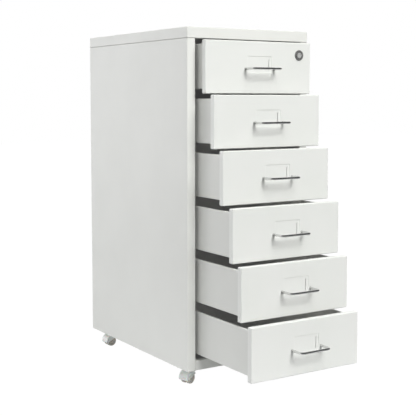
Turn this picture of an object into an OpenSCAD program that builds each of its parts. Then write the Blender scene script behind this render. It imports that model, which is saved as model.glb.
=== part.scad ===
// Six-drawer sheet-steel cabinet on castors, with its drawers standing open in steps.
// +Z is up and the front faces -Y. The floor is z = 0, and the origin lies on it under
// the middle of everything, the open drawers and their handles included.

/* [Cabinet] */
// Width over the two side panels
cab_w = 280; // [270:1:400]
// Depth from the front flanges to the rear flanges
cab_d = 410; // [400:1:600]
// Height of the top cap
cap_h = 21; // [16:0.5:40]
// Height of the apron below the lowest drawer
apron_h = 18.3; // [15:0.1:60]
// How far the apron stands back behind the front flanges
apron_recess = 1; // [0:0.1:4]
// Thickness of all the sheet steel
sheet = 0.8; // [0.6:0.1:1.2]
// Clearance where two sheets or a runner and its drawer lie against each other
seam = 0.3; // [0.1:0.1:0.6]

/* [Side panels] */
// Width of each front flange, seen beside the drawers
flange_w = 17.8; // [16:0.1:25]
// Depth of the return behind each front flange
return_d = 16; // [13:0.5:25]
// Width of each rear flange
rear_flange_w = 13; // [11:0.5:20]
// Width of the flanges turned in at the top and the foot
edge_flange_w = 16; // [14:0.5:17.5]

/* [Top cap] */
// Depth of the lip turned in under the front, which the lock's cam catches
cap_front_lip = 20; // [12:0.5:21]
// Depth of the lips turned in along the sides and the rear
cap_lip = 14; // [13:0.5:17]

/* [Drawers] */
// Height of each drawer front
front_h = 98; // [85:0.5:160]
// Depth of each drawer front's folded edge
front_d = 12; // [8:0.5:14]
// Width of the lip behind each drawer front's edge
front_lip = 10; // [9:0.5:14]
// Gap between one drawer front and the next
front_gap = 2.3; // [1:0.1:5]
// Gap between the top cap and the top drawer
cap_gap = 3.9; // [1:0.1:6]
// Gap between a drawer front and the front flange beside it
side_gap = 1.2; // [0.6:0.1:3]
// How far the tray stands in from each end of its front
tray_inset = 5; // [3:0.5:8]
// Height of the tray's underside above the front's lower edge
tray_lift = 9; // [7:0.5:14]
// How far the tray's rim lies below the front's upper edge
rim_drop = 7; // [4:0.5:9]
// Width of the tray's folded rim
rim_w = 4; // [2:0.5:8]
// Space behind a closed drawer's tray
rear_space = 30; // [15:1:60]

/* [Opening, drawer 1 at the top] */
// How far drawer 1 stands open
pull_1 = 33; // [0:0.5:250]
// How far drawer 2 stands open
pull_2 = 61.5; // [0:0.5:250]
// How far drawer 3 stands open
pull_3 = 91; // [0:0.5:250]
// How far drawer 4 stands open
pull_4 = 122.5; // [0:0.5:250]
// How far drawer 5 stands open
pull_5 = 149.5; // [0:0.5:250]
// How far drawer 6 stands open
pull_6 = 180.5; // [0:0.5:250]

/* [Runners and glides] */
// Reach of each runner's shelf under the tray
shelf_reach = 6; // [3:0.5:12]
// Distance from the tray's side to the edge of the runner's upper lip
lip_clear = 3; // [1.5:0.5:6]
// Distance from each runner's rear end to the rear of the cabinet
runner_end = 14; // [5:1:40]
// Height of each glide block
glide_h = 14; // [8:0.5:20]
// Length of each glide block
glide_l = 30; // [15:1:45]
// How far each drawer slides out from closed
travel = 290; // [255:1:305]
// Play between a glide block and the return that stops it
stop_gap = 0.5; // [0.3:0.1:2]

/* [Handles] */
// Diameter of the handle's wire
wire_d = 4.5; // [3:0.1:6]
// Distance between the handle's legs
handle_w = 65; // [64:0.5:110]
// How far the handle stands out from the drawer front
handle_reach = 30; // [22:0.5:50]
// Bend radius of the wire, at its middle
bend_r = 7; // [4:0.5:12]
// Distance from the front's upper edge down to the handle
handle_drop = 51.5; // [30:0.5:70]
// Diameter of the upset collar that holds each leg
collar_d = 7; // [6.5:0.1:9]

/* [Label pockets] */
// Width of the pocket pressed into each drawer front
pocket_w = 55.6; // [40:0.2:56]
// Height of the pocket
pocket_h = 30; // [20:0.5:40]
// Depth of the pocket
pocket_d = 0.6; // [0.5:0.1:2.5]
// Distance from the front's upper edge down to the pocket
pocket_drop = 28; // [14:0.5:40]
// Distance from each end of the pocket to the slot that a label's end tucks into
slot_inset = 5.7; // [4:0.1:10]
// Width of the slots
slot_w = 0.8; // [0.6:0.1:2.5]
// Distance from the pocket's upper edge down to the slots
slot_drop = 5.5; // [3:0.5:8]
// Distance from the pocket's lower edge up to the slots
slot_rise = 3; // [2:0.5:8]

/* [Lock] */
// Distance from the drawer front's right end to the lock
lock_inset = 28; // [26:0.5:60]
// Distance from the front's upper edge down to the lock
lock_drop = 24; // [20:0.5:27]
// Diameter of the lock's rosette
rosette_d = 20; // [18:0.5:26]
// Thickness of the rosette
rosette_t = 2.5; // [1.5:0.1:5]
// Diameter of the lock's body
barrel_d = 15.8; // [14:0.1:17]
// Distance from the drawer front's face to the rear of the lock's body
barrel_l = 22; // [21.5:0.5:30]
// Diameter of the plug that the key turns
plug_d = 10; // [8:0.1:11]
// Length of the cam from its middle to its tip
cam_l = 31; // [30:0.5:36]
// Width of the cam
cam_w = 11; // [10.5:0.5:14]
// Thickness of the cam
cam_t = 2; // [1:0.1:3]

/* [Castors] */
// Height of the shell above the floor
castor_h = 34; // [32:0.5:60]
// Diameter of each castor wheel
wheel_d = 22; // [18:0.5:26]
// Width of each castor wheel
wheel_w = 6.5; // [5:0.5:10]
// Width of the web between a castor's two wheels
web_w = 5.5; // [4:0.5:10]
// Distance from the castor's stem back to its axle
trail = 7; // [5:0.5:12]
// Diameter of the axle
axle_d = 3; // [2.5:0.1:5]
// Diameter of the stem
stem_d = 8; // [7:0.1:9]
// Distance from each side of the cabinet to the castor stems
castor_side = 30; // [30:0.5:60]
// Distance from the front and the rear to the castor stems
castor_end = 40; // [38:0.5:70]
// Side of each castor plate
plate_w = 34; // [26:1:34]
// Thickness of each castor plate
plate_t = 3; // [2:0.5:5]
// Outer diameter of each castor socket
socket_d = 14; // [12:0.5:18]
// Height of each socket above the floor of the base pan
socket_h = 18; // [12:0.5:24]

/* [Screws] */
// Diameter of the shell's screws
screw_d = 3.6; // [3:0.1:4.5]
// Diameter of a screw's head
screw_head_d = 7; // [6:0.1:8]
// Height of a screw's head
screw_head_h = 1.6; // [1:0.1:2.5]
// Length of a screw below its head
screw_l = 6; // [5:0.5:10]

/* [Hidden] */
$fn = 48;
tiny = 0.05;                     // how far a cut runs past a face
past = 1;                        // how far a drilled hole runs past a sheet
running = 0.05;                  // radial clearance of a turning shaft
fit = 0.1;                       // radial clearance round a fixed pin, tube or screw

pulls = [pull_1, pull_2, pull_3, pull_4, pull_5, pull_6];
drawers = len(pulls);
half_w = cab_w / 2;

// Heights
shell_z = castor_h;
first_front_z = shell_z + apron_h + front_gap;
pitch = front_h + front_gap;
cap_z = first_front_z + drawers * pitch - front_gap + cap_gap;
top_z = cap_z + cap_h;
side_top = cap_z - seam;
floor_z = shell_z + sheet;       // underside of the base pan's floor
pan_z = floor_z + sheet;         // top of the base pan's floor

// Depths: the whole, from the lowest drawer's handle to the rear screws, is centred on y = 0
y_front = (max(pulls) + handle_reach - cab_d - screw_head_h) / 2;
y_back = y_front + cab_d;
back_y = y_back - 2 * sheet;     // front of the back panel

// Across the front
flange_x = half_w - flange_w;
front_half = flange_x - side_gap;
skin_x = half_w - sheet;
web_x = skin_x - sheet;          // inner face of a runner's web
tray_half = front_half - tray_inset;

// The tray and its glides, from the drawer front's face
tray_y = front_d;
tray_end = cab_d - rear_space;
glide_y = return_d + travel + stop_gap;
rest_gap = seam;                 // between a runner's shelf and the tray on it

// The handle
wire_r = wire_d / 2;
leg_x = handle_w / 2;
bar_y = handle_reach - wire_r;
collar_t = 1.2;

// The lock
lock_x = front_half - lock_inset;
nut_t = 4;
nut_d = 22;
tail_d = 6;
plug_sink = 0.4;                 // how far the plug's face lies behind the rosette's
cam_gap = 0.3;
cam_screw_d = 3;
cam_screw_l = 5;
cam_screw_head = 8;
key_slot = [1.6, 7];
key_tilt = 64;

// The castors
wheel_r = wheel_d / 2;
wheel_gap = 0.3;
hood_gap = 0.8;
hood_t = 1.5;
hood_tilt = -24;                 // how far the hood reaches lower behind than in front
hood_up = 2.5;                   // height of the cheeks' lower edge above the axle
hood_r = wheel_r + hood_gap + hood_t;
web_up = 2;                      // how far the web stays inside the wheels' tread
hub_boss = 0.3;                  // radii of the hub's boss and rim, as shares of the wheel's
hub_rim = 0.72;
hub_depth = 1;                   // depth of the recess between them
disc_d = 20;
disc_t = 3.4;
disc_top = floor_z - seam;
castor_x = half_w - castor_side;
castor_turns = [[-1, -1, 108], [1, -1, 14], [-1, 1, 92], [1, 1, -38]];

// The screws: places along the depth and the height, as shares of the panel's length
screw_shares = [0.12, 0.5, 0.88];
edge_screw_x = half_w - (edge_flange_w + sheet) / 2;
rear_screw_x = half_w - (rear_flange_w + sheet) / 2;
head_taper = 1.4;                // how much narrower a screw's head is at its outer end

steel = "#e6e7e3";
zinc = "#b9bbb8";
chrome = "#c9ccce";

function front_z(i) = first_front_z + (drawers - 1 - i) * pitch;
function tray_z(i) = front_z(i) + tray_lift;
function face_y(i) = y_front - pulls[i];
function share_y(s) = y_front + s * cab_d;
function share_z(s) = shell_z + s * (side_top - shell_z);

// A box between two corners
module block(low, high) translate(low) cube(high - low);

// A box as wide to the left as to the right
module mid_block(half, y, z) block([-half, y[0], z[0]], [half, y[1], z[1]]);

// A rod along Y between two depths
module rod_y(d, y, x = 0, z = 0)
    translate([x, y[0], z]) rotate([-90, 0, 0]) cylinder(d = d, h = y[1] - y[0]);

// A rod along Z between two heights
module rod_z(d, z, x = 0, y = 0) translate([x, y, z[0]]) cylinder(d = d, h = z[1] - z[0]);

// Both sides of the cabinet, made from the left one
module both_sides() {
    children();
    mirror([1, 0, 0]) children();
}

// Side panel: skin, front flange with its return, rear flange, and flanges at top and foot
module side_panel() {
    hole_d = screw_d + 2 * fit;
    difference() {
        union() {
            block([-half_w, y_front, shell_z], [-skin_x, y_back, side_top]);
            block([-half_w, y_front, shell_z], [-flange_x, y_front + sheet, side_top]);
            block([-flange_x - sheet, y_front, shell_z], [-flange_x, y_front + return_d, side_top]);
            block([-half_w, y_back - sheet, shell_z],
                [-half_w + rear_flange_w, y_back, side_top]);
            block([-half_w, y_front, shell_z], [-half_w + edge_flange_w, y_back, floor_z]);
            block([-half_w, y_front, side_top - sheet],
                [-half_w + edge_flange_w, y_back, side_top]);
        }
        for (s = screw_shares) {
            rod_z(hole_d, [shell_z - past, floor_z + past], -edge_screw_x, share_y(s));
            rod_z(hole_d, [side_top - sheet - past, side_top + past], -edge_screw_x, share_y(s));
            rod_y(hole_d, [y_back - sheet - past, y_back + past], -rear_screw_x, share_z(s));
        }
    }
}

module side_panel_left() color(steel) side_panel();
module side_panel_right() color(steel) mirror([1, 0, 0]) side_panel();

// Top cap: a tray turned upside down, with lips folded in under its skirts
module top_cap() color(steel) difference() {
    mid_block(half_w, [y_front, y_back], [cap_z, top_z]);
    mid_block(skin_x, [y_front + sheet, y_back - sheet], [cap_z + sheet, top_z - sheet]);
    mid_block(half_w - cap_lip, [y_front + cap_front_lip, y_back - cap_lip],
        [cap_z - tiny, cap_z + sheet + tiny]);
    both_sides() for (s = screw_shares)
        rod_z(screw_d + 2 * fit, [cap_z - past, cap_z + sheet + past], -edge_screw_x, share_y(s));
}

// Back panel: lies in front of the rear flanges, between the flanges at top and foot
module back_panel() color(steel) {
    middle = half_w - edge_flange_w - seam;
    difference() {
        union() {
            mid_block(skin_x - seam, [back_y, back_y + sheet], [floor_z, side_top - sheet]);
            mid_block(middle, [back_y, back_y + sheet], [shell_z, side_top]);
            mid_block(middle, [back_y - cap_lip, back_y + sheet], [side_top - sheet, side_top]);
        }
        both_sides() for (s = screw_shares)
            rod_y(screw_d + 2 * fit, [back_y - past, y_back], -rear_screw_x, share_z(s));
    }
}

// Base pan: floor, apron with a folded top edge, and an upstand along the back panel
module base_pan() color(steel) {
    narrow = flange_x - seam;
    wide = skin_x - seam;
    apron_y = y_front + apron_recess;
    apron_top = shell_z + apron_h;
    difference() {
        union() {
            mid_block(narrow, [apron_y, y_back - 3 * sheet], [floor_z, pan_z]);
            mid_block(wide, [y_front + return_d + seam, back_y], [floor_z, pan_z]);
            mid_block(narrow, [apron_y, apron_y + sheet], [shell_z, apron_top]);
            mid_block(narrow, [apron_y, apron_y + front_d], [apron_top - sheet, apron_top]);
            mid_block(wide, [back_y - sheet, back_y], [floor_z, pan_z + apron_h]);
        }
        both_sides() {
            for (y = castor_ys()) rod_z(stem_d + 1, [floor_z - past, pan_z + past], -castor_x, y);
            for (s = screw_shares)
                rod_z(screw_d + 2 * fit, [floor_z - past, pan_z + past], -edge_screw_x, share_y(s));
        }
    }
}

function castor_ys() = [y_front + castor_end, y_back - castor_end];

// Castor plates: each a plate with a socket for the castor's stem
module castor_plates() color(zinc) both_sides() for (y = castor_ys())
    difference() {
        union() {
            block([-castor_x - plate_w / 2, y - plate_w / 2, pan_z],
                [-castor_x + plate_w / 2, y + plate_w / 2, pan_z + plate_t]);
            rod_z(socket_d, [pan_z, pan_z + socket_h], -castor_x, y);
        }
        rod_z(stem_d + 2 * running, [pan_z - past, pan_z + socket_h + past], -castor_x, y);
    }

// One side's runners: a shelf that the tray stands on and a lip that holds its glide down
module runners() for (i = [0 : drawers - 1]) {
    shelf_top = tray_z(i) - rest_gap;
    lip_z = tray_z(i) + glide_h + rest_gap;
    y = [y_front + return_d + seam, y_back - runner_end];
    block([-skin_x, y[0], shelf_top - sheet], [-web_x, y[1], lip_z + sheet]);
    block([-skin_x, y[0], shelf_top - sheet], [-tray_half + shelf_reach, y[1], shelf_top]);
    block([-skin_x, y[0], lip_z], [-tray_half - lip_clear, y[1], lip_z + sheet]);
}

module runners_left() color(zinc) runners();
module runners_right() color(zinc) mirror([1, 0, 0]) runners();

// A pan-head screw that points along +Z from its head's seat at z = 0
module screw() {
    translate([0, 0, -screw_head_h]) cylinder(d1 = screw_head_d - head_taper, d2 = screw_head_d,
        h = screw_head_h);
    cylinder(d = screw_d, h = screw_l);
}

// The shell's screws: cap and base to the side panels, and the back panel to its flanges
module shell_screws() color(zinc) both_sides() for (s = screw_shares) {
    translate([-edge_screw_x, share_y(s), side_top - sheet]) screw();
    translate([-edge_screw_x, share_y(s), pan_z]) mirror([0, 0, 1]) screw();
    translate([-rear_screw_x, y_back, share_z(s)]) rotate([90, 0, 0]) screw();
}

// Drawer front: a folded pan with holes for the handle's legs and a shallow pressed label
// pocket, which has a slot near each end
module drawer_front(i) color(steel) {
    y = face_y(i);
    z = front_z(i);
    top = z + front_h;
    pocket_top = top - pocket_drop;
    pocket_half = pocket_w / 2;
    slot_x = pocket_half - slot_inset;
    slot_z = [pocket_top - pocket_h + slot_rise, pocket_top - slot_drop];
    difference() {
        union() {
            difference() {
                mid_block(front_half, [y, y + front_d], [z, top]);
                mid_block(front_half - sheet, [y + sheet, y + front_d - sheet],
                    [z + sheet, top - sheet]);
                mid_block(front_half - front_lip, [y + sheet, y + front_d + tiny],
                    [z + front_lip, top - front_lip]);
            }
            mid_block(pocket_half + sheet, [y, y + pocket_d + sheet],
                [pocket_top - pocket_h - sheet, pocket_top + sheet]);
        }
        mid_block(pocket_half, [y - tiny, y + pocket_d], [pocket_top - pocket_h, pocket_top]);
        both_sides() block([-slot_x, y, slot_z[0]],
            [-slot_x + slot_w, y + pocket_d + sheet + tiny, slot_z[1]]);
        both_sides() rod_y(wire_d + 2 * fit, [y - past, y + sheet + past], -leg_x, top - handle_drop);
        if (i == 0) rod_y(barrel_d + 2 * fit, [y - past, y + sheet + past], lock_x, top - lock_drop);
    }
}

// Drawer tray: an open box with its rim folded inwards
module drawer_tray(i) color(steel) {
    y = [face_y(i) + tray_y, face_y(i) + tray_end];
    z = [tray_z(i), front_z(i) + front_h - rim_drop];
    difference() {
        mid_block(tray_half, y, z);
        mid_block(tray_half - sheet, [y[0] + sheet, y[1] - sheet], [z[0] + sheet, z[1] - sheet]);
        mid_block(tray_half - rim_w, [y[0] + rim_w, y[1] - rim_w], [z[0] + sheet, z[1] + tiny]);
        if (i == 0) rod_y(barrel_d + 1, [y[0] - past, y[0] + sheet + past],
            lock_x, front_z(i) + front_h - lock_drop);
    }
}

// Handle: a wire bow whose legs pass through the front and end in upset collars
module drawer_handle(i) color(chrome) {
    y = face_y(i);
    bend_x = leg_x - bend_r;
    bend_y = bar_y - bend_r;
    translate([0, y, front_z(i) + front_h - handle_drop]) {
        translate([-bend_x, -bar_y, 0]) rotate([0, 90, 0]) cylinder(d = wire_d, h = 2 * bend_x);
        both_sides() {
            rod_y(wire_d, [-bend_y, sheet + collar_t], -leg_x);
            rod_y(collar_d, [sheet, sheet + collar_t], -leg_x);
            translate([-bend_x, -bend_y, 0]) rotate([0, 0, 180])
                rotate_extrude(angle = 90) translate([bend_r, 0]) circle(d = wire_d);
        }
    }
}

// Glide blocks: fixed to the tray's sides, they run between the runner's shelf and lip
module drawer_glides(i) color("#dcdcd6") both_sides()
    block([-web_x + seam, face_y(i) + glide_y, tray_z(i)],
        [-tray_half, face_y(i) + glide_y + glide_l, tray_z(i) + glide_h]);

// Lock, drawn about its own axis with the drawer front's face at y = 0
module at_lock() translate([lock_x, face_y(0), front_z(0) + front_h - lock_drop]) children();

module lock_barrel() color(chrome) at_lock() difference() {
    union() {
        rod_y(rosette_d, [-rosette_t, 0]);
        rod_y(barrel_d, [-tiny, barrel_l]);
    }
    rod_y(plug_d + 2 * running, [-rosette_t - past, barrel_l + past]);
}

module lock_nut() color(zinc) at_lock() difference() {
    rotate([-90, 0, 0]) translate([0, 0, tray_y + sheet]) cylinder(d = nut_d, h = nut_t, $fn = 6);
    rod_y(barrel_d + 2 * fit, [tray_y, tray_y + sheet + nut_t + past]);
}

module lock_plug() color(zinc) at_lock() difference() {
    union() {
        rod_y(plug_d, [-rosette_t + plug_sink, barrel_l + cam_gap]);
        rod_y(tail_d, [0, barrel_l + cam_gap + cam_t]);
    }
    rotate([0, key_tilt, 0]) block([-key_slot[0] / 2, -rosette_t - past, -key_slot[1] / 2],
        [key_slot[0] / 2, barrel_l / 2, key_slot[1] / 2]);
    rod_y(cam_screw_d + 2 * fit,
        [barrel_l - cam_screw_l - past, barrel_l + cam_gap + cam_t + past]);
}

module lock_cam() color(zinc) at_lock() {
    y = [barrel_l + cam_gap, barrel_l + cam_gap + cam_t];
    difference() {
        union() {
            rod_y(cam_w, y);
            rod_y(cam_w, y, cam_w / 2 - cam_l);
            block([cam_w / 2 - cam_l, y[0], -cam_w / 2], [0, y[1], cam_w / 2]);
        }
        rod_y(tail_d + 2 * fit, [y[0] - past, y[1] + past]);
    }
}

module lock_screw() color(zinc) at_lock() {
    seat = barrel_l + cam_gap + cam_t;
    rod_y(cam_screw_head, [seat, seat + screw_head_h]);
    rod_y(cam_screw_d, [barrel_l - cam_screw_l, seat + tiny]);
}

// A castor's place and heading: corner is [left or right, front or rear, angle]
module at_castor(corner) translate([corner[0] * castor_x,
    corner[1] < 0 ? castor_ys()[0] : castor_ys()[1], 0]) rotate([0, 0, corner[2]]) children();

// A drum along X, about the castor's axle
module drum(r, half) translate([-half, trail, wheel_r]) rotate([0, 90, 0])
    cylinder(r = r, h = 2 * half);

// Castor: stem, swivel disc, neck, web with the axle's bore, and a hood over both wheels,
// whose cheeks reach lower behind the wheels than in front of them
module castor(corner) color("#f1f1ee") at_castor(corner) {
    inside = web_w / 2 + 2 * wheel_gap + wheel_w;
    outside = inside + hood_t;
    neck_z = 2 * wheel_r + hood_gap;
    difference() {
        union() {
            rod_z(stem_d, [disc_top - 1, pan_z + socket_h - 1]);
            rod_z(disc_d, [disc_top - disc_t, disc_top]);
            translate([0, 0, neck_z])
                cylinder(d1 = 2 * outside, d2 = disc_d, h = disc_top - disc_t - neck_z);
            intersection() {
                drum(hood_r, outside);
                translate([0, trail, wheel_r]) rotate([hood_tilt, 0, 0])
                    block([-outside - past, -hood_r - past, hood_up],
                        [outside + past, hood_r + past, hood_r + past]);
            }
            drum(wheel_r - web_up, web_w / 2);
        }
        drum(axle_d / 2 + running, outside + past);
        for (side = [-1, 1]) translate([side * (web_w / 2 + inside) / 2, 0, 0])
            drum(wheel_r + hood_gap, (inside - web_w / 2) / 2);
    }
}

// Wheel pair: two wheels pressed on one axle, which turns in the web's bore
module wheels(corner) color("#a9a7a1") at_castor(corner) {
    half = web_w / 2 + wheel_gap + wheel_w;
    drum(axle_d / 2, half - 1);
    for (side = [-1, 1]) translate([side * (half - wheel_w / 2), 0, 0]) difference() {
        drum(wheel_r, wheel_w / 2);
        translate([side * wheel_w / 2, 0, 0]) difference() {
            drum(wheel_r * hub_rim, hub_depth);
            drum(wheel_r * hub_boss, hub_depth + past);
        }
    }
}

side_panel_left();
side_panel_right();
top_cap();
back_panel();
base_pan();
castor_plates();
runners_left();
runners_right();
shell_screws();
for (i = [0 : drawers - 1]) {
    name = str("drawer_", i + 1, "_");
    drawer_front(i);
    drawer_tray(i);
    drawer_handle(i);
    drawer_glides(i);
}
lock_barrel();
lock_nut();
lock_plug();
lock_cam();
lock_screw();
castor(castor_turns[0]);  // castor_front_left
wheels(castor_turns[0]);  // wheels_front_left
castor(castor_turns[1]);  // castor_front_right
wheels(castor_turns[1]);  // wheels_front_right
castor(castor_turns[2]);  // castor_rear_left
wheels(castor_turns[2]);  // wheels_rear_left
castor(castor_turns[3]);  // castor_rear_right
wheels(castor_turns[3]);  // wheels_rear_right
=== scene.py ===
"""Looks of a six-drawer sheet-steel cabinet on castors.

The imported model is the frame: it gives every piece its place. The sheets, pans, wires and
castors are surfaces worked out here in millimetres round the boxes of the frame's nodes.
Each is a section carried along a path, or rings stacked on one another, and is made a mesh
in metres. +Z is up, the front faces -Y and the floor is z = 0.
"""

import logging
import math
from collections.abc import Sequence
from dataclasses import dataclass, field
from enum import Enum

import bmesh
import bpy
import numpy as np
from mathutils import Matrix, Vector
from mathutils.geometry import tessellate_polygon


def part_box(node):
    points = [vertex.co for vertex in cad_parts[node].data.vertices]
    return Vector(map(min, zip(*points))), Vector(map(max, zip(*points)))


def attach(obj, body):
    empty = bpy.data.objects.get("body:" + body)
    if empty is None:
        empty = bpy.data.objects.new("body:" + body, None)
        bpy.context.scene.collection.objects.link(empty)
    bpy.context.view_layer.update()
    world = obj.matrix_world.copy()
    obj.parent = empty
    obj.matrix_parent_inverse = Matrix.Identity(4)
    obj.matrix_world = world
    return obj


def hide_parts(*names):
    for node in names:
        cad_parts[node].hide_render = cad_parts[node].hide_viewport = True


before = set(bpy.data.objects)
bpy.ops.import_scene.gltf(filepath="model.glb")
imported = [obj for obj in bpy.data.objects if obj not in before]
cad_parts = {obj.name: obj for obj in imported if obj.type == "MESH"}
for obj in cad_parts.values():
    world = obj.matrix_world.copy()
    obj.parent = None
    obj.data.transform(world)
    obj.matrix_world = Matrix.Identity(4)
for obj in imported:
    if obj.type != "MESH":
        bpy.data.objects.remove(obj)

log = logging.getLogger("cabinet")
Array = np.ndarray
MM = 0.001
DRAWERS = 6
SHEET = 0.8            # thickness of the steel sheet
BEND = 1.5             # outer radius of a folded edge
INSET = 0.02           # how far a flat flange's faces stay inside the sheet it lies in
RING_STEPS = 96        # points round the lock's rosette
WHEEL_STEPS = 72       # points round a castor's wheel
WIRE_STEPS = 20        # points round a handle's wire
CASTOR_TURNS = {"front_left": 108.0, "front_right": 14.0, "rear_left": 92.0,
                "rear_right": -38.0}
ZINC_NODES = ("castor_plates", "runners_left", "runners_right", "shell_screws")
LOCK_NODES = ("lock_nut", "lock_plug", "lock_cam", "lock_screw")
WHITE = (1.0, 1.0, 1.0, 1.0)


# ---------------------------------------------------------------- colours and shader nodes


def linear(colour: str) -> tuple[float, float, float, float]:
    """Turns an sRGB hex colour, such as "#e6e7e3", to linear red, green, blue and alpha."""
    parts = np.array([int(colour[i:i + 2], 16) / 255 for i in (1, 3, 5)])
    low = parts / 12.92
    high = ((parts + 0.055) / 1.055) ** 2.4
    red, green, blue = np.where(parts <= 0.04045, low, high)
    return float(red), float(green), float(blue), 1.0


def add_node(tree: bpy.types.NodeTree, kind: str, sockets: dict | None = None,
             links: dict | None = None, **settings: object) -> bpy.types.Node:
    """Adds one shader node.

    Args:
        tree: the node tree it goes into.
        kind: the node's Blender type, such as "ShaderNodeBump".
        sockets: values for input sockets, by name or place.
        links: output sockets to join to input sockets, by the input's name or place.
        settings: properties of the node itself.

    Returns:
        The node.
    """
    node = tree.nodes.new(kind)
    for name, value in settings.items():
        setattr(node, name, value)
    for name, value in (sockets or {}).items():
        node.inputs[name].default_value = value
    for name, output in (links or {}).items():
        tree.links.new(output, node.inputs[name])
    return node


def noise(tree: bpy.types.NodeTree, size_mm: float, detail: float = 3.0,
          stretch: tuple[float, float, float] = (1.0, 1.0, 1.0)) -> bpy.types.NodeSocket:
    """Adds a noise pattern on Object coordinates.

    Args:
        tree: the node tree.
        size_mm: the size of its grain.
        detail: how many finer layers it has.
        stretch: the share of its frequency kept along each axis.

    Returns:
        The noise's value, from 0 to 1.
    """
    place = add_node(tree, "ShaderNodeTexCoord")
    turned = add_node(tree, "ShaderNodeMapping", {"Scale": stretch},
                      {"Vector": place.outputs["Object"]})
    grain = add_node(tree, "ShaderNodeTexNoise", {"Scale": 1 / (size_mm * MM), "Detail": detail},
                     {"Vector": turned.outputs["Vector"]})
    return grain.outputs[0]


def between(tree: bpy.types.NodeTree, value: bpy.types.NodeSocket, low: float,
            high: float) -> bpy.types.NodeSocket:
    """Adds a node that spreads the middle of a noise over a range, and returns its result."""
    spread = add_node(tree, "ShaderNodeMapRange",
                      {"From Min": 0.3, "From Max": 0.7, "To Min": low, "To Max": high},
                      {"Value": value})
    return spread.outputs["Result"]


def fading(tree: bpy.types.NodeTree, value: bpy.types.NodeSocket, start: float, end: float,
           low: float = 0.0, high: float = 1.0) -> bpy.types.NodeSocket:
    """Adds a node that goes smoothly from low to high as a value goes from start to end."""
    fade = add_node(tree, "ShaderNodeMapRange",
                    {"From Min": start, "From Max": end, "To Min": low, "To Max": high},
                    {"Value": value}, interpolation_type="SMOOTHSTEP")
    return fade.outputs["Result"]


def mixed(tree: bpy.types.NodeTree, share: bpy.types.NodeSocket, first: str,
          second: str) -> bpy.types.NodeSocket:
    """Adds a mix of two sRGB hex colours by a share, and returns its colour."""
    mix = add_node(tree, "ShaderNodeMixRGB", {1: linear(first), 2: linear(second)}, {0: share})
    return mix.outputs[0]


def new_material(name: str) -> tuple[bpy.types.Material, bpy.types.NodeTree, bpy.types.Node]:
    """Makes a material with its Principled shader joined to the output.

    Args:
        name: the finish's name.

    Returns:
        The material, its node tree and its shader.
    """
    material = bpy.data.materials.new(name)
    material.use_nodes = True
    tree = material.node_tree
    tree.nodes.clear()
    shader = add_node(tree, "ShaderNodeBsdfPrincipled")
    add_node(tree, "ShaderNodeOutputMaterial", links={"Surface": shader.outputs[0]})
    return material, tree, shader


def add_bump(tree: bpy.types.NodeTree, shader: bpy.types.Node, height: bpy.types.NodeSocket,
             depth_mm: float, strength: float = 1.0) -> None:
    """Joins a height pattern to a shader's normal, as a bump of that depth."""
    bump = add_node(tree, "ShaderNodeBump", {"Strength": strength, "Distance": depth_mm * MM},
                    {"Height": height})
    tree.links.new(bump.outputs[0], shader.inputs["Normal"])


# ---------------------------------------------------------------- finishes


@dataclass(frozen=True)
class PowderCoat:
    """Polyester powder coat baked on sheet steel: satin, with a faint orange peel.

    The peel of the real coat is about 0.8 mm across, and is drawn at 1.6 mm so that it shows.
    """

    name: str
    colour: str
    shade: str
    roughness: float = 0.4
    cloud_mm: float = 90.0
    gloss_mm: float = 24.0
    peel_mm: float = 1.6
    peel_depth_mm: float = 0.012
    ior: float = 1.5

    def material(self) -> bpy.types.Material:
        """Returns the coat: two close whites in soft clouds, a peel, and uneven gloss."""
        material, tree, shader = new_material(self.name)
        clouds = between(tree, noise(tree, self.cloud_mm, 2.0), 0.0, 1.0)
        tree.links.new(mixed(tree, clouds, self.colour, self.shade), shader.inputs["Base Color"])
        gloss = between(tree, noise(tree, self.gloss_mm), self.roughness - 0.03,
                        self.roughness + 0.03)
        tree.links.new(gloss, shader.inputs["Roughness"])
        add_bump(tree, shader, noise(tree, self.peel_mm, 1.0), self.peel_depth_mm)
        shader.inputs["IOR"].default_value = self.ior
        return material


@dataclass(frozen=True)
class PlatedMetal:
    """Plated metal: bright chrome is a clear mirror; zinc and the lock rosette's grey plating,
    whose grey is painted reflection, are dull.

    The dull platings scatter part of the light, so they are only partly metallic here. Real
    polishing lines are too fine to show, and are drawn 0.35 mm apart.
    """

    name: str
    colour: str
    shade: str
    roughness: float
    cloud_mm: float
    line_depth_mm: float = 0.002
    metallic: float = 1.0
    line_mm: float = 0.35

    def material(self) -> bpy.types.Material:
        """Returns the plating: a metal with clouded colour, uneven gloss and fine lines."""
        material, tree, shader = new_material(self.name)
        clouds = between(tree, noise(tree, self.cloud_mm, 4.0), 0.0, 1.0)
        tree.links.new(mixed(tree, clouds, self.colour, self.shade), shader.inputs["Base Color"])
        gloss = between(tree, noise(tree, self.cloud_mm / 2), self.roughness * 0.8,
                        self.roughness * 1.25)
        tree.links.new(gloss, shader.inputs["Roughness"])
        add_bump(tree, shader, noise(tree, self.line_mm, 1.0), self.line_depth_mm)
        shader.inputs["Metallic"].default_value = self.metallic
        return material


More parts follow.
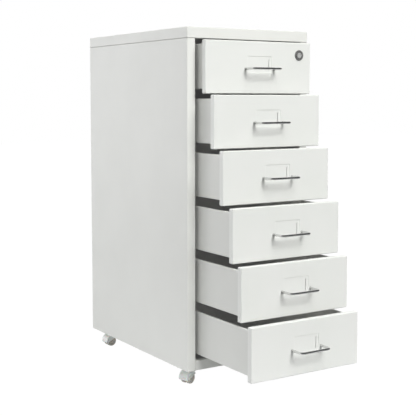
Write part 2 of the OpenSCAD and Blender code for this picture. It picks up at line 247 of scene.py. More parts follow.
@dataclass(frozen=True)
class MouldedPlastic:
    """Injection-moulded nylon: an even colour with flow clouds and a fine spark texture."""

    name: str
    colour: str
    shade: str
    roughness: float
    grain_mm: float = 0.6
    subsurface: float = 0.0
    flow_mm: float = 9.0
    gloss_mm: float = 4.0
    grain_depth_mm: float = 0.02

    def material(self) -> bpy.types.Material:
        """Returns the plastic, slightly clouded, and cloudy inside where it lets light in."""
        material, tree, shader = new_material(self.name)
        flow = between(tree, noise(tree, self.flow_mm, 3.0, (1.0, 1.0, 0.4)), 0.0, 1.0)
        tree.links.new(mixed(tree, flow, self.colour, self.shade), shader.inputs["Base Color"])
        gloss = between(tree, noise(tree, self.gloss_mm), self.roughness - 0.05,
                        self.roughness + 0.05)
        tree.links.new(gloss, shader.inputs["Roughness"])
        add_bump(tree, shader, noise(tree, self.grain_mm, 2.0), self.grain_depth_mm, 0.7)
        shader.inputs["Subsurface Weight"].default_value = self.subsurface
        shader.inputs["Subsurface Scale"].default_value = 4 * MM
        return material


@dataclass(frozen=True)
class FloorPaint:
    """Matt studio floor: lit from below to a clean white, as on a light table.

    As it is seen, it glows to white and keeps a trace of the shadows. What it gives the
    object is the light of a pale paint with a weaker glow. Both fade out in front of the
    drawers, the paint from `full_at` to `paint_end` and the glow from there to `glow_end`.
    """

    name: str = "white_studio_floor"
    colour: str = "#c8c9ca"
    dark: str = "#3c3d3e"
    glow: float = 1.04
    low_glow: float = 0.16
    trace: float = 0.05
    full_at: float = -0.1
    paint_end: float = -0.8
    glow_end: float = -0.55
    roughness: float = 0.9

    def material(self) -> bpy.types.Material:
        """Returns the floor's paint with its two glows."""
        material, tree, shader = new_material(self.name)
        place = add_node(tree, "ShaderNodeTexCoord")
        parts = add_node(tree, "ShaderNodeSeparateXYZ", links={0: place.outputs["Object"]})
        near = fading(tree, parts.outputs["Y"], self.paint_end, self.full_at)
        tree.links.new(mixed(tree, near, self.dark, self.colour), shader.inputs["Base Color"])
        shader.inputs["Roughness"].default_value = self.roughness
        weak = fading(tree, parts.outputs["Y"], self.glow_end, self.full_at, 0.0, self.low_glow)
        shader.inputs["Emission Color"].default_value = WHITE
        tree.links.new(weak, shader.inputs["Emission Strength"])
        glow = add_node(tree, "ShaderNodeEmission", {"Color": WHITE, "Strength": self.glow})
        shaded = add_node(tree, "ShaderNodeMixShader", {0: self.trace},
                          {1: glow.outputs[0], 2: shader.outputs[0]})
        path = add_node(tree, "ShaderNodeLightPath")
        pick = add_node(tree, "ShaderNodeMixShader",
                        links={0: path.outputs["Is Camera Ray"], 1: shader.outputs[0],
                               2: shaded.outputs[0]})
        tree.links.new(pick.outputs[0], tree.get_output_node("ALL").inputs["Surface"])
        return material


class Finish(Enum):
    """The finishes of the cabinet."""

    SHELL = "shell_powder_coat"
    FRONT = "drawer_powder_coat"
    TRAY = "tray_powder_coat"
    # The tray's inside: the same white coat as outside, painted lighter as painted light.
    PAINTED_LIGHT_INSIDE = "tray_lining"
    CHROME = "chrome_plate"
    GREY_RING_PAINTED_REFLECTION = "satin_chrome_plate"
    ZINC = "zinc_plate"
    GLIDE = "glide_nylon"
    CASTOR = "castor_plastic"
    WHEEL = "wheel_plastic"


FINISHES = {
    Finish.SHELL: PowderCoat("white_powder_coated_shell", "#e4e5e0", "#e1e2dd"),
    Finish.FRONT: PowderCoat("white_powder_coated_front", "#e9eae6", "#e6e8e3"),
    Finish.TRAY: PowderCoat("white_powder_coated_tray", "#dedfda", "#dadbd6"),
    # Painted light: the tray's inside is the same white coat as its outside, made lighter to stand
    # in for the light that falls into the open drawers.
    Finish.PAINTED_LIGHT_INSIDE: PowderCoat("white_coat_painted_light_in_tray", "#f8f8f4", "#f5f5f1"),
    Finish.CHROME: PlatedMetal("bright_chrome_plate", "#dfdfde", "#d4d4d3", 0.08, 6.0),
    # Painted reflection: the chrome rosette gets a grey, half-metallic plating whose grey stands
    # in for its mirror of the dark room in front.
    Finish.GREY_RING_PAINTED_REFLECTION: PlatedMetal("satin_chrome_plate", "#8c8c8a", "#7f7f7d", 0.3, 6.0, 0.004, 0.6),
    Finish.ZINC: PlatedMetal("bright_zinc_plate", "#dcdddb", "#cccdca", 0.34, 5.0, 0.006, 0.4),
    Finish.GLIDE: MouldedPlastic("natural_moulded_nylon", "#d9d9d0", "#d0d0c6", 0.42),
    Finish.CASTOR: MouldedPlastic("white_moulded_nylon", "#f6f6f3", "#f0f1ed", 0.32, 0.5, 0.15),
    Finish.WHEEL: MouldedPlastic("grey_moulded_tyre", "#dad6cb", "#c6c2b7", 0.38, 0.9, 0.25),
}
_made: dict[Finish, bpy.types.Material] = {}


def material_of(finish: Finish) -> bpy.types.Material:
    """Returns a finish's material, made once."""
    if finish not in _made:
        _made[finish] = FINISHES[finish].material()
    return _made[finish]


# ---------------------------------------------------------------- sections and rings


def folded(points: Sequence[tuple[float, float]], radius: float | Sequence[float],
           steps: int = 6) -> Array:
    """Rounds the corners of a section line.

    A corner between unit directions a and b, which turns by an angle t, becomes an arc of
    radius r from the point r tan(t / 2) before it to the point as far after it.

    Args:
        points: the section's corners, from end to end.
        radius: the arcs' radius, or one for each inner corner.
        steps: the number of steps in an arc.

    Returns:
        The section's points, as rows of two.
    """
    corners = np.array(points, float)
    radii = np.broadcast_to(np.array(radius, float), (len(corners) - 2,))
    line = [corners[:1]]
    for before, corner, after, bend in zip(corners, corners[1:], corners[2:], radii):
        a = (corner - before) / np.linalg.norm(corner - before)
        b = (after - corner) / np.linalg.norm(after - corner)
        turn = math.acos(float(np.clip(a @ b, -1, 1)))
        start = corner - a * bend * math.tan(turn / 2)
        outward = -(b - a @ b * a) / math.sin(turn)
        angle = np.linspace(0, turn, steps + 1)[:, None]
        line.append(start - outward * bend + bend * (np.cos(angle) * outward + np.sin(angle) * a))
    line.append(corners[-1:])
    return np.concatenate(line)


def sheet_section(points: Sequence[tuple[float, float]],
                  inner: Sequence[tuple[float, float]]) -> tuple[Array, Array]:
    """Gives the two faces of a folded sheet, whose bends share their centres.

    Args:
        points: the corners of the outer face.
        inner: the corners of the inner face, one for each of the outer ones.

    Returns:
        The outer and the inner face's points, in step with each other.
    """
    return folded(points, BEND), folded(inner, BEND - SHEET)


def rectangle(low: Sequence[float], high: Sequence[float], radius: float,
              steps: int = 5) -> Array:
    """Gives a rectangle with round corners as a closed loop of points.

    Each corner is a quarter circle about the point one radius inside it, in steps.

    Args:
        low: its lowest corner.
        high: its highest corner.
        radius: its corners' radius.
        steps: the number of steps in a corner.

    Returns:
        4 (steps + 1) points, anticlockwise, as rows of two.
    """
    low_at, high_at = np.array(low, float), np.array(high, float)
    radius = min(radius, *((high_at - low_at) / 2.001))
    quarter = np.linspace(0, math.pi / 2, steps + 1)
    centres = np.array([[high_at[0] - radius, high_at[1] - radius],
                        [low_at[0] + radius, high_at[1] - radius],
                        [low_at[0] + radius, low_at[1] + radius],
                        [high_at[0] - radius, low_at[1] + radius]])
    angle = quarter[None, :] + np.arange(4)[:, None] * math.pi / 2
    around = np.stack([np.cos(angle), np.sin(angle)], axis=-1) * radius
    return (centres[:, None, :] + around).reshape(-1, 2)


class Plane(Enum):
    """The plane of a ring, as the places of its two axes and of its depth among X, Y and Z."""

    PLAN = (0, 1, 2)
    FRONT = (0, 2, 1)
    SIDE = (1, 2, 0)


def placed(flat: Array, depth: float | Array, plane: Plane) -> Array:
    """Puts flat points into space.

    Args:
        flat: points as rows of two.
        depth: their place along the plane's third axis.
        plane: the plane that they lie in.

    Returns:
        The points as rows of three.
    """
    first, second, third = plane.value
    points = np.empty(flat.shape[:-1] + (3,))
    points[..., first] = flat[..., 0]
    points[..., second] = flat[..., 1]
    points[..., third] = depth
    return points


# ---------------------------------------------------------------- meshes


@dataclass
class Skin:
    """Gathers grids of points as faces, and makes one object of them."""

    points: list[Array] = field(default_factory=list)
    faces: list[list[int]] = field(default_factory=list)
    marks: list[int] = field(default_factory=list)
    count: int = 0

    def grid(self, rows: Array, close_rows: bool = False, ends: bool = True,
             mark: int = 0) -> None:
        """Adds a surface of two parameters as quads. Its last column joins the first.

        Args:
            rows: points by row and column, as an array of rows by columns by three.
            close_rows: whether the last row joins the first.
            ends: whether the first and the last row are filled, where rows aren't closed.
            mark: the place of the faces' finish in the object's list of finishes.
        """
        rings, columns = rows.shape[:2]
        ids = np.arange(rings * columns).reshape(rings, columns) + self.count
        tall = np.vstack([ids, ids[:1]]) if close_rows else ids
        wide = np.hstack([tall, tall[:, :1]])
        quads = np.stack([wide[:-1, :-1], wide[:-1, 1:], wide[1:, 1:], wide[1:, :-1]], axis=-1)
        found = quads.reshape(-1, 4).tolist()
        if ends and not close_rows:
            found += [ids[0, ::-1].tolist(), ids[-1].tolist()]
        self.points.append(rows.reshape(-1, 3))
        self.faces += found
        self.marks += [mark] * len(found)
        self.count += rings * columns

    def panel(self, outline: Array, holes: Sequence[Array]) -> None:
        """Adds a flat panel with holes, cut into triangles.

        Args:
            outline: its closed outline, as rows of three.
            holes: the closed outlines of its holes.
        """
        loops = [outline, *holes]
        found = tessellate_polygon([[Vector(point) for point in loop] for loop in loops])
        self.points.append(np.concatenate(loops))
        self.faces += [[corner + self.count for corner in corners] for corners in found]
        self.marks += [0] * len(found)
        self.count += sum(len(loop) for loop in loops)

    def sheet(self, outer: Array, inner: Array, span: tuple[float, float],
              plane: Plane) -> None:
        """Adds a folded sheet: its section, carried straight along the plane's depth.

        Args:
            outer: the outer face's section.
            inner: the inner face's section, in step with it.
            span: the depths at which the sheet starts and ends.
            plane: the section's plane.
        """
        sides = np.stack([placed(line, depth, plane)
                          for line, depth in ((outer, span[0]), (outer, span[1]),
                                              (inner, span[1]), (inner, span[0]))])
        count = len(outer)
        ids = np.arange(4 * count).reshape(4, count) + self.count
        around = np.vstack([ids, ids[:1]])
        quads = np.stack([around[:-1, :-1], around[:-1, 1:], around[1:, 1:], around[1:, :-1]],
                         axis=-1)
        self.points.append(sides.reshape(-1, 3))
        found = quads.reshape(-1, 4).tolist() + [ids[::-1, 0].tolist(), ids[:, -1].tolist()]
        self.faces += found
        self.marks += [0] * len(found)
        self.count += 4 * count

    def plate(self, low: Sequence[float], high: Sequence[float], corner: float,
              span: tuple[float, float], plane: Plane) -> None:
        """Adds a flat plate with round corners.

        Args:
            low: its lowest corner in the plane.
            high: its highest corner in the plane.
            corner: its corners' radius.
            span: the depths of its two faces.
            plane: the plane that it lies in.
        """
        outline = rectangle(low, high, corner)
        self.grid(np.stack([placed(outline, depth, plane) for depth in span]))

    def build(self, name: str, body: str, finishes: Sequence[Finish], node: str) -> None:
        """Makes the object, in metres, with its finishes, and lets it ride on its body.

        Args:
            name: the object's name.
            body: the frame's body that it moves with.
            finishes: its finishes, in the order of the marks.
            node: the frame's node that it stands for.
        """
        mesh = bpy.data.meshes.new(name)
        mesh.from_pydata((np.concatenate(self.points) * MM).tolist(), [], self.faces)
        mesh.polygons.foreach_set("material_index", self.marks)
        shape = bmesh.new()
        shape.from_mesh(mesh)
        bmesh.ops.remove_doubles(shape, verts=shape.verts, dist=1e-7)
        bmesh.ops.recalc_face_normals(shape, faces=shape.faces)
        shape.to_mesh(mesh)
        shape.free()
        mesh.polygons.foreach_set("use_smooth", [True] * len(mesh.polygons))
        piece = bpy.data.objects.new(name, mesh)
        bpy.context.scene.collection.objects.link(piece)
        for finish in finishes:
            mesh.materials.append(material_of(finish))
        even = piece.modifiers.new("even_faces", "WEIGHTED_NORMAL")
        even.keep_sharp = True
        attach(piece, body)
        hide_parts(node)
        log.info("%s rides on %s: %d faces", name, body, len(mesh.polygons))


def node_box(node: str) -> tuple[Array, Array]:
    """Returns the lowest and the highest corner of a frame's node, in millimetres."""
    low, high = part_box(node)
    return np.array(low) / MM, np.array(high) / MM


def dress(node: str, finish: Finish) -> None:
    """Gives a node that shows its own shape its finish."""
    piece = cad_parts[node]
    piece.data.materials.clear()
    piece.data.materials.append(material_of(finish))
    log.info("%s keeps its shape", node)


# ---------------------------------------------------------------- shell


@dataclass
class SidePanel:
    """One side: a sheet folded to a channel, closed at top and foot by turned-in flanges."""

    side: int
    flange: float = 17.8
    return_depth: float = 16.0
    rear_flange: float = 13.0
    edge_flange: float = 16.0
    corner: float = 2.2
    edge_corner: float = 1.0

    @property
    def node(self) -> str:
        """Returns the name of the frame's node."""
        return "side_panel_left" if self.side < 0 else "side_panel_right"

    def build(self) -> None:
        """Makes the panel: the channel's section in plan, carried from foot to top."""
        low, high = node_box(self.node)
        edge = low[0] if self.side < 0 else high[0]

        def across(inset: float) -> float:
            return edge - self.side * inset

        front, back = low[1], high[1]
        outer = [(across(self.flange), front + self.return_depth), (across(self.flange), front),
                 (edge, front), (edge, back), (across(self.rear_flange), back)]
        inner = [(across(self.flange - SHEET), front + self.return_depth),
                 (across(self.flange - SHEET), front + SHEET), (across(SHEET), front + SHEET),
                 (across(SHEET), back - SHEET), (across(self.rear_flange), back - SHEET)]
        bends = [BEND, self.corner, self.corner]
        skin = Skin()
        skin.sheet(folded(outer, bends), folded(inner, [bend - SHEET for bend in bends]),
                   (low[2], high[2]), Plane.PLAN)
        x = sorted([across(SHEET / 2), across(self.edge_flange)])
        for z in (low[2], high[2] - SHEET):
            skin.plate((x[0], front + SHEET / 2), (x[1], back - SHEET / 2), self.edge_corner,
                       (z + INSET, z + SHEET - INSET), Plane.PLAN)
        skin.build(f"{self.node}_sheet", "cabinet", [Finish.SHELL], self.node)


@dataclass
class TopCap:
    """The cap: a shallow pan turned upside down, its lips folded in under the skirts."""

    lip: float = 14.0
    front_lip: float = 20.0
    corner: float = 2.2
    edge: float = 1.8
    flat_inset: float = 40.0

    def ring(self, low: Array, high: Array, inset: float, z: float) -> Array:
        """Returns a ring in plan, as far in from the cap's outline, at a height."""
        flat = rectangle(low[:2] + inset, high[:2] - inset, max(self.corner - inset, 0.4))
        return placed(flat, z, Plane.PLAN)

    def build(self) -> None:
        """Makes the cap: its section from the middle over the edge to the lip and back."""
        low, high = node_box("top_cap")
        bottom, top = low[2], high[2]
        outer = folded([(self.flat_inset, top), (0.0, top), (0.0, bottom), (self.lip, bottom)],
                       [self.edge, BEND])
        inner = folded([(self.flat_inset, top - SHEET), (SHEET, top - SHEET),
                        (SHEET, bottom + SHEET), (self.lip, bottom + SHEET)],
                       [self.edge - SHEET, BEND - SHEET])
        rings = [self.ring(low, high, inset, z) for inset, z in outer]
        back = [self.ring(low, high, inset, z) for inset, z in inner[::-1]]
        for lip in (rings[-1], back[0]):
            near = lip[:, 1] < (low[1] + high[1]) / 2
            lip[near, 1] += self.front_lip - self.lip
        skin = Skin()
        skin.grid(np.stack(rings + back))
        skin.build("top_cap_sheet", "cabinet", [Finish.SHELL], "top_cap")


@dataclass
class BackPanel:
    """The rear sheet, with a stiffening edge turned forwards at the top."""

    lip: float = 14.0
    inset: float = 16.3
    corner: float = 0.6

    def build(self) -> None:
        """Makes the panel: its section seen from the side, carried across the cabinet."""
        low, high = node_box("back_panel")
        rear = high[1]
        outer, inner = sheet_section(
            [(rear, low[2]), (rear, high[2]), (rear - self.lip, high[2])],
            [(rear - SHEET, low[2]), (rear - SHEET, high[2] - SHEET),
             (rear - self.lip, high[2] - SHEET)])
        half = high[0] - self.inset
        skin = Skin()
        skin.sheet(outer, inner, (-half, half), Plane.SIDE)
        for side in (-1, 1):
            x = sorted([side * half, side * high[0]])
            skin.plate((x[0], low[2] + SHEET), (x[1], high[2] - SHEET), self.corner,
                       (rear - SHEET + INSET, rear - INSET), Plane.FRONT)
        skin.build("back_panel_sheet", "cabinet", [Finish.SHELL], "back_panel")


@dataclass
class BasePan:
    """The floor of the cabinet, with the apron that shows below the lowest drawer."""

    narrow: float = 121.9
    apron_edge: float = 12.0
    apron_height: float = 18.3
    front_notch: float = 16.3
    rear_bend: float = 1.4
    corner: float = 0.6
    overlap: float = 0.5

    def build(self) -> None:
        """Makes the pan: its section seen from the side, carried across the cabinet."""
        low, high = node_box("base_pan")
        front, back, foot = low[1], high[1], low[2]
        floor = foot + SHEET
        apron_top = foot + self.apron_height
        skin = Skin()
        outer, inner = sheet_section(
            [(front + self.apron_edge, apron_top), (front, apron_top), (front, foot)],
            [(front + self.apron_edge, apron_top - SHEET), (front + SHEET, apron_top - SHEET),
             (front + SHEET, foot)])
        skin.sheet(outer, inner, (-self.narrow, self.narrow), Plane.SIDE)
        tail = folded([(front + SHEET, floor), (back, floor), (back, high[2])], self.rear_bend)
        top = folded([(front + SHEET, floor + SHEET), (back - SHEET, floor + SHEET),
                      (back - SHEET, high[2])], self.rear_bend - SHEET)
        skin.sheet(tail, top, (-self.narrow, self.narrow), Plane.SIDE)
        for side in (-1, 1):
            x = sorted([side * (self.narrow - self.overlap), side * high[0]])
            skin.plate((x[0], front + self.front_notch), (x[1], back), self.corner,
                       (floor + INSET, floor + SHEET - INSET), Plane.PLAN)
        skin.build("base_pan_sheet", "cabinet", [Finish.SHELL], "base_pan")


# ---------------------------------------------------------------- drawers


@dataclass
class Drawer:
    """One drawer: front with label pocket, tray, wire handle and glides.

    The frame's pocket has a slot near each end. The photograph shows only the right one, so
    only that one is made here, and a little wider than the frame's.
    """

    number: int
    front_lip: float = 10.0
    front_corner: float = 1.6
    front_bend: float = 1.2
    face_inset: float = 8.0
    pocket_width: float = 55.6
    pocket_height: float = 30.0
    pocket_depth: float = 0.6
    pocket_drop: float = 28.0
    pocket_corner: float = 1.2
    pocket_bend: float = 0.25
    pocket_floor: float = 1.5
    pocket_land: float = 3.0
    slot_inset: float = 5.5
    slot_width: float = 1.2
    slot_drop: float = 5.5
    slot_rise: float = 3.0
    slot_corner: float = 0.3
    rim: float = 4.0
    tray_corner: float = 1.6
    rim_bend: float = 1.3
    floor_inset: float = 30.0
    wire: float = 4.5
    bend_radius: float = 7.0
    collar: float = 7.0
    collar_edge: float = 0.3

    def name(self, part: str) -> str:
        """Returns the name of one of this drawer's nodes."""
        return f"drawer_{self.number}_{part}"

    @property
    def body(self) -> str:
        """Returns the body that the drawer's pieces ride on."""
        return f"drawer_{self.number}"

    def build(self) -> None:
        """Makes every piece of the drawer."""
        self.build_front()
        self.build_tray()
        self.build_handle()
        dress(self.name("glides"), Finish.GLIDE)

    def build_front(self) -> None:
        """Makes the front: rings from the pocket's floor over the face and round its edge."""
        low, high = node_box(self.name("front"))
        face, rear = low[1], high[1]
        left_low, right_high = low[[0, 2]], high[[0, 2]]
        half = self.pocket_width / 2
        pocket_top = high[2] - self.pocket_drop
        pocket = (np.array([-half, pocket_top - self.pocket_height]), np.array([half, pocket_top]))

        def pocket_ring(grow: float, depth: float) -> Array:
            flat = rectangle(pocket[0] - grow, pocket[1] + grow,
                             self.pocket_corner + max(grow, -SHEET))
            return placed(flat, face + depth, Plane.FRONT)

        def edge_ring(inset: float, y: float) -> Array:
            flat = rectangle(left_low + inset, right_high - inset,
                             max(self.front_corner - inset, 0.5))
            return placed(flat, y, Plane.FRONT)

        outer = folded([(self.face_inset, face), (0.0, face), (0.0, rear),
                        (self.front_lip, rear)], [self.front_corner, self.front_bend])
        inner = folded([(self.face_inset, face + SHEET), (SHEET, face + SHEET),
                        (SHEET, rear - SHEET), (self.front_lip, rear - SHEET)],
                       [self.front_corner - SHEET, self.front_bend - SHEET])
        wall = folded([(-self.pocket_floor, self.pocket_depth), (0.0, self.pocket_depth),
                       (0.0, 0.0), (self.pocket_land, 0.0)], self.pocket_bend, 3)
        rings = [pocket_ring(grow, depth) for grow, depth in wall]
        rings += [edge_ring(inset, y) for inset, y in outer]
        rings += [edge_ring(inset, y) for inset, y in inner[::-1]]
        rings += [pocket_ring(SHEET, SHEET), pocket_ring(SHEET, self.pocket_depth + SHEET),
                  pocket_ring(-self.pocket_floor, self.pocket_depth + SHEET)]
        skin = Skin()
        skin.grid(np.stack(rings), ends=False)
        edge = half - self.slot_inset
        foot, head = pocket[0][1] + self.slot_rise, pocket_top - self.slot_drop
        flat = rectangle((edge - self.slot_width, foot), (edge, head), self.slot_corner, 3)
        slot = [placed(flat, face + self.pocket_depth + depth, Plane.FRONT)
                for depth in (0.0, SHEET)]
        skin.grid(np.stack(slot), ends=False)
        skin.panel(rings[0], slot[:1])
        skin.panel(rings[-1], slot[1:])
        skin.build(self.name("front_pan"), self.body, [Finish.FRONT], self.name("front"))

    def build_tray(self) -> None:
        """Makes the tray: rings from under its floor, up its walls, over the rim and down."""
        low, high = node_box(self.name("tray"))

        def ring(inset: float, z: float) -> Array:
            flat = rectangle(low[:2] + inset, high[:2] - inset,
                             max(self.tray_corner - inset, 0.5))
            return placed(flat, z, Plane.PLAN)

        floor, top = low[2], high[2]
        outer = folded([(self.floor_inset, floor), (0.0, floor), (0.0, top), (self.rim, top)],
                       [self.tray_corner, self.rim_bend])
        inner = folded([(self.rim, top - SHEET), (SHEET, top - SHEET), (SHEET, floor + SHEET),
                        (self.floor_inset, floor + SHEET)],
                       [self.rim_bend - SHEET, self.tray_corner - SHEET])
        skin = Skin()
        outside = np.stack([ring(inset, z) for inset, z in outer])
        inside = np.stack([ring(inset, z) for inset, z in inner])
        skin.grid(np.concatenate([outside, inside[:1]]), ends=False)
        # Mark 1 gives the inside faces the lighter copy of the coat: painted light.
        skin.grid(inside, ends=False, mark=1)
        for cap, mark in ((outside[0], 0), (inside[-1], 1)):
            middle = np.broadcast_to(cap.mean(axis=0), cap.shape) * 0.9 + cap * 0.1
            skin.grid(np.stack([cap, middle]), ends=False, mark=mark)
            skin.faces.append(list(range(skin.count - len(cap), skin.count)))
            skin.marks.append(mark)
        skin.build(self.name("tray_box"), self.body, [Finish.TRAY, Finish.PAINTED_LIGHT_INSIDE],
                   self.name("tray"))

    def build_handle(self) -> None:
        """Makes the handle: a circle carried along the bow, and a collar at each leg's end."""
        low, high = node_box(self.name("handle"))
        face = node_box(self.name("front"))[0][1]
        radius = self.wire / 2
        bar = low[1] + radius
        z = (low[2] + high[2]) / 2
        leg = high[0] - self.collar / 2
        path = folded([(-leg, high[1]), (-leg, bar), (leg, bar), (leg, high[1])],
                      self.bend_radius, 12)
        ahead = np.gradient(path, axis=0)
        ahead /= np.linalg.norm(ahead, axis=1)[:, None]
        normal = np.stack([-ahead[:, 1], ahead[:, 0]], axis=1)
        angle = np.linspace(0, 2 * math.pi, WIRE_STEPS, endpoint=False)
        out = radius * np.cos(angle)[None, :, None]
        rings = np.empty((len(path), len(angle), 3))
        rings[..., :2] = path[:, None, :] + out * normal[:, None, :]
        rings[..., 2] = z + radius * np.sin(angle)
        skin = Skin()
        skin.grid(rings)
        bore, rim, back = radius - 0.2, self.collar / 2, face + SHEET
        section = np.array([(bore, back), (rim - self.collar_edge, back),
                            (rim, back + self.collar_edge), (rim, high[1]), (bore, high[1])])
        around, depth = section[:, :1], section[:, 1:] + 0 * angle
        for side in (-1, 1):
            skin.grid(np.stack([side * leg + around * np.cos(angle), depth,
                                z + around * np.sin(angle)], axis=-1), close_rows=True)
        skin.build(self.name("handle_wire"), self.body, [Finish.CHROME], self.name("handle"))


# ---------------------------------------------------------------- lock


@dataclass
class CamLock:
    """The cam lock in the top drawer: a chrome rosette and barrel, with a keyed zinc plug. The
    rosette is drawn half diffuse, in a grey that is painted reflection of the dark room in front.
    """

    barrel_radius: float = 7.9
    plug_gap: float = 0.05
    dish_width: float = 1.0
    dish_depths: tuple[float, float] = (0.7, 0.25)
    rim_slope: tuple[float, float] = (1.7, 1.3)
    notch_radius: float = 7.9
    notch_angle: float = math.radians(128)
    notch_size: float = 1.1
    notch_depth: float = 1.6

    def build(self) -> None:
        """Makes the rosette and barrel as one turned piece, and dresses the rest."""
        low, high = node_box("lock_barrel")
        plug_low, plug_high = node_box("lock_plug")
        centre = (plug_low + plug_high) / 2
        bore = (plug_high[0] - plug_low[0]) / 2 + self.plug_gap
        rim = (high[0] - low[0]) / 2
        face = node_box("drawer_1_front")[0][1]
        mouth, dish = self.dish_depths
        width, fall = self.rim_slope
        profile = folded([(bore, high[1]), (bore, low[1] + mouth),
                          (bore + self.dish_width, low[1] + dish), (rim - width, low[1]),
                          (rim, low[1] + fall), (rim, face), (self.barrel_radius, face),
                          (self.barrel_radius, high[1])], [0.3, 0.25, 1.2, 0.5, 0.05, 0.3], 6)
        angle = np.linspace(0, 2 * math.pi, RING_STEPS, endpoint=False)
        radius, depth = profile[:, :1], profile[:, 1:]
        rows = np.stack([centre[0] + radius * np.cos(angle),
                         np.broadcast_to(depth, (len(profile), len(angle))),
                         centre[2] + radius * np.sin(angle)], axis=-1)
        skin = Skin()
        skin.grid(self.notched(rows, centre, low[1], face), close_rows=True)
        # The rosette's grey plating puts the chrome's reflection of the dark room into its colour:
        # painted reflection.
        skin.build("lock_rosette", "drawer_1", [Finish.GREY_RING_PAINTED_REFLECTION], "lock_barrel")
        for node in LOCK_NODES:
            dress(node, Finish.ZINC)

    def notched(self, rows: Array, centre: Array, front: float, face: float) -> Array:
        """Presses the index notch into the rosette.

        The depth falls off from the notch's middle as a bell curve of the distance to it.

        Args:
            rows: the rosette's points.
            centre: the lock's middle.
            front: the depth of the rosette's foremost ring.
            face: the depth of the drawer front's face.

        Returns:
            The points with the notch in them.
        """
        middle = centre[[0, 2]] + self.notch_radius * np.array([math.cos(self.notch_angle),
                                                                math.sin(self.notch_angle)])
        away = np.linalg.norm(rows[..., [0, 2]] - middle, axis=-1)
        pressed = rows.copy()
        depth = self.notch_depth * np.exp(-(away / self.notch_size) ** 2)
        in_front = rows[..., 1] < (front + face) / 2
        pressed[..., 1] += np.where(in_front, depth, 0)
        return pressed


# ---------------------------------------------------------------- castors


@dataclass
class Castor:
    """A twin-wheel castor: a hood with cheeks, web, neck and disc, and two turned wheels."""

    place: str
    turn: float
    side_inset: float = 30.0
    end_inset: float = 40.0
    trail: float = 7.0
    wheel_radius: float = 11.0
    wheel_sides: tuple[float, float] = (3.05, 9.55)
    axle_radius: float = 1.5
    hub_radius: float = 3.2
    tyre_band: float = 2.6
    web_recess: float = 1.0
    hub_recess: float = 0.2
    axle_recess: float = 0.9

    def to_place(self, local: Array) -> Array:
        """Turns points by the castor's heading and moves them to its stem."""
        low, high = node_box("top_cap")
        x = high[0] - self.side_inset if "right" in self.place else low[0] + self.side_inset
        y = low[1] + self.end_inset if "front" in self.place else high[1] - self.end_inset
        angle = math.radians(self.turn)
        spin = np.array([[math.cos(angle), math.sin(angle), 0.0],
                         [-math.sin(angle), math.cos(angle), 0.0], [0.0, 0.0, 1.0]])
        return local @ spin + np.array([x, y, 0.0])

    def build(self) -> None:
        """Dresses the castor's own solid, and makes its wheels."""
        dress(f"castor_{self.place}", Finish.CASTOR)
        self.build_wheels()

    def build_wheels(self) -> None:
        """Makes the wheels on their axle: turned profiles about the axle's line."""
        near, far = self.wheel_sides
        tyre, hub, slope = self.wheel_radius, self.hub_radius, 0.6
        band, web, face = tyre - self.tyre_band, far - self.web_recess, far - self.hub_recess
        skin = Skin()
        wheel = folded([(self.axle_radius, near), (tyre, near), (tyre, far), (band, far),
                        (band - slope, web), (hub + slope, web), (hub, face),
                        (self.axle_radius, face)], [1.0, 1.9, 0.4, 0.4, 0.4, 0.4], 4)
        for side in (-1, 1):
            skin.grid(self.turned(wheel, side), close_rows=True)
        end = far - self.axle_recess
        axle = folded([(0.2, -end), (self.axle_radius, -end), (self.axle_radius, end),
                       (0.2, end)], 0.3, 3)
        skin.grid(self.turned(axle, 1))
        skin.build(f"wheels_{self.place}_pair", f"wheels_{self.place}", [Finish.WHEEL],
                   f"wheels_{self.place}")

    def turned(self, profile: Array, side: int) -> Array:
        """Turns a profile of radius and distance about the axle's line.

        Args:
            profile: rows of radius and distance from the castor's middle.
            side: -1 for the wheel on the left, 1 for the one on the right.

        Returns:
            The surface's points by profile and angle.
        """
        angle = np.linspace(0, 2 * math.pi, WHEEL_STEPS, endpoint=False)
        radius, away = profile[:, :1] + 0 * angle, side * (profile[:, 1:] + 0 * angle)
        rows = np.stack([away, self.trail + radius * np.cos(angle),
                         self.wheel_radius + radius * np.sin(angle)], axis=-1)
        return self.to_place(rows)


# ---------------------------------------------------------------- studio


@dataclass(frozen=True)
class Lamp:
    """A square lamp: its place and the point it faces, in metres, its side and its watts.

    Bright metal mirrors it only where `mirrored` says so.
    """

    name: str
    at: tuple[float, float, float]
    to: tuple[float, float, float]
    size: float
    power: float
    mirrored: bool = False

    def build(self) -> None:
        """Makes the lamp."""
        lamp = bpy.data.lights.new(f"{self.name}_light", "AREA")
        lamp.size = self.size
        lamp.energy = self.power
        light = bpy.data.objects.new(f"{self.name}_light", lamp)
        light.location = self.at
        aim = Vector(self.to) - Vector(self.at)
        light.rotation_euler = aim.to_track_quat("-Z", "Y").to_euler()
        light.visible_glossy = self.mirrored
        bpy.context.scene.collection.objects.link(light)


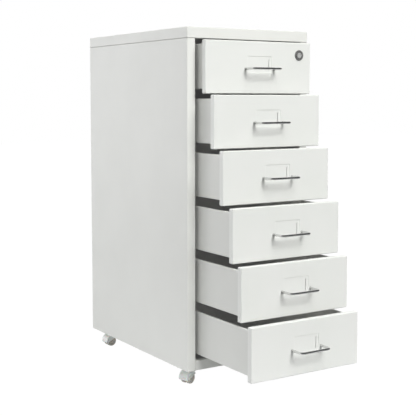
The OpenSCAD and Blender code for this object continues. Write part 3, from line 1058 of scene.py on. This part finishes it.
@dataclass
class Studio:
    """White floor and backdrop, soft lights and the camera at the photograph's view.

    The backdrop behind the cabinet is bright and the room in front of it is dark, so the
    light on the sides comes from behind. The chrome handles mirror the dark room and not
    the lamps in it, as the photograph shows.
    """

    camera_at: tuple[float, float, float] = (-1040.95, -1578.93, 547.21)
    heading: float = 32.63
    pitch: float = -4.66
    lens: float = 81.27
    shift_y: float = -0.0793
    room: float = 0.06
    backdrop: float = 1.06
    backdrop_turn: float = 15.0
    turn_from: float = -0.25
    turn_to: float = 0.6
    lamps: tuple[Lamp, ...] = (
        Lamp("key", (0.25, -3.75, 2.7), (0.0, -0.2, 0.4), 1.6, 123.0),
        Lamp("top", (-0.35, -2.2, 3.0), (0.0, -0.2, 0.4), 2.2, 64.0),
        Lamp("overhead", (-0.4, -0.7, 3.0), (-0.1, -0.4, 0.3), 1.6, 9.0),
        Lamp("side", (-1.9, 2.7, 0.5), (0.0, 0.1, 0.3), 1.5, 16.0, mirrored=True))
    shadow_lift: float = 0.036

    def build(self) -> None:
        """Makes the floor, the world, the lights and the camera."""
        self.build_floor()
        self.build_world()
        for lamp in self.lamps:
            lamp.build()
        self.build_camera()
        self.set_tones()

    def set_tones(self) -> None:
        """Sets the photograph's tones: plain, with the deepest shadows lifted a little."""
        view = bpy.context.scene.view_settings
        view.view_transform = "Standard"
        view.use_curve_mapping = True
        curve = view.curve_mapping.curves[3]
        curve.points[0].location = (0.0, self.shadow_lift)
        curve.points[-1].location = (1.0, 1.0)
        view.curve_mapping.update()

    def build_floor(self) -> None:
        """Makes the floor: a square sheet that rises from a distance on, by a small slope."""
        side, flat, slope, drop, count = 9000, 6000, 0.002, 0.4, 41
        steps = np.linspace(-side, side, count)
        x, y = np.meshgrid(steps, steps)
        rise = slope * np.maximum(np.hypot(x, y) - flat, 0)
        points = np.stack([x, y, rise - drop], axis=-1).reshape(-1, 3) * MM
        ids = np.arange(count * count).reshape(count, count)
        quads = np.stack([ids[:-1, :-1], ids[:-1, 1:], ids[1:, 1:], ids[1:, :-1]], axis=-1)
        mesh = bpy.data.meshes.new("studio_floor")
        mesh.from_pydata(points.tolist(), [], quads.reshape(-1, 4).tolist())
        floor = bpy.data.objects.new("studio_floor", mesh)
        bpy.context.scene.collection.objects.link(floor)
        mesh.materials.append(FloorPaint().material())

    def build_world(self) -> None:
        """Makes the room's light: white to the camera, and bright only from behind.

        The brightness goes over smoothly from the room's in front to the backdrop's behind,
        by the direction's share along +Y, turned a little towards the left.
        """
        world = bpy.data.worlds.new("studio_world")
        bpy.context.scene.world = world
        world.use_nodes = True
        tree = world.node_tree
        tree.nodes.clear()
        place = add_node(tree, "ShaderNodeTexCoord")
        turned = add_node(tree, "ShaderNodeMapping",
                          {"Rotation": (0.0, 0.0, -math.radians(self.backdrop_turn))},
                          {"Vector": place.outputs["Generated"]})
        parts = add_node(tree, "ShaderNodeSeparateXYZ", links={0: turned.outputs[0]})
        behind = fading(tree, parts.outputs["Y"], self.turn_from, self.turn_to, self.room,
                        self.backdrop)
        room = add_node(tree, "ShaderNodeBackground", {"Color": linear("#fdfdff")},
                        {"Strength": behind})
        white = add_node(tree, "ShaderNodeBackground", {"Color": WHITE, "Strength": 1.0})
        path = add_node(tree, "ShaderNodeLightPath")
        pick = add_node(tree, "ShaderNodeMixShader",
                        links={0: path.outputs["Is Camera Ray"], 1: room.outputs[0],
                               2: white.outputs[0]})
        add_node(tree, "ShaderNodeOutputWorld", links={"Surface": pick.outputs[0]})

    def build_camera(self) -> None:
        """Makes the camera from its place, its heading from +Y towards +X, and its pitch."""
        lens = bpy.data.cameras.new("studio_camera")
        lens.lens = self.lens
        lens.sensor_width = 36.0
        lens.shift_y = self.shift_y
        lens.clip_end = 50.0
        camera = bpy.data.objects.new("studio_camera", lens)
        camera.location = Vector(self.camera_at) * MM
        camera.rotation_euler = (math.radians(90 + self.pitch), 0.0, -math.radians(self.heading))
        bpy.context.scene.collection.objects.link(camera)
        bpy.context.scene.camera = camera


# ---------------------------------------------------------------- the whole


def main() -> None:
    """Builds every piece in order."""
    logging.basicConfig(level=logging.INFO, format="%(name)s: %(message)s")
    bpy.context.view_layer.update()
    Studio().build()
    for side in (-1, 1):
        SidePanel(side).build()
    TopCap().build()
    BackPanel().build()
    BasePan().build()
    for number in range(1, DRAWERS + 1):
        Drawer(number).build()
    CamLock().build()
    for place, turn in CASTOR_TURNS.items():
        Castor(place, turn).build()
    for node in ZINC_NODES:
        dress(node, Finish.ZINC)


if __name__ == "__main__":
    main()
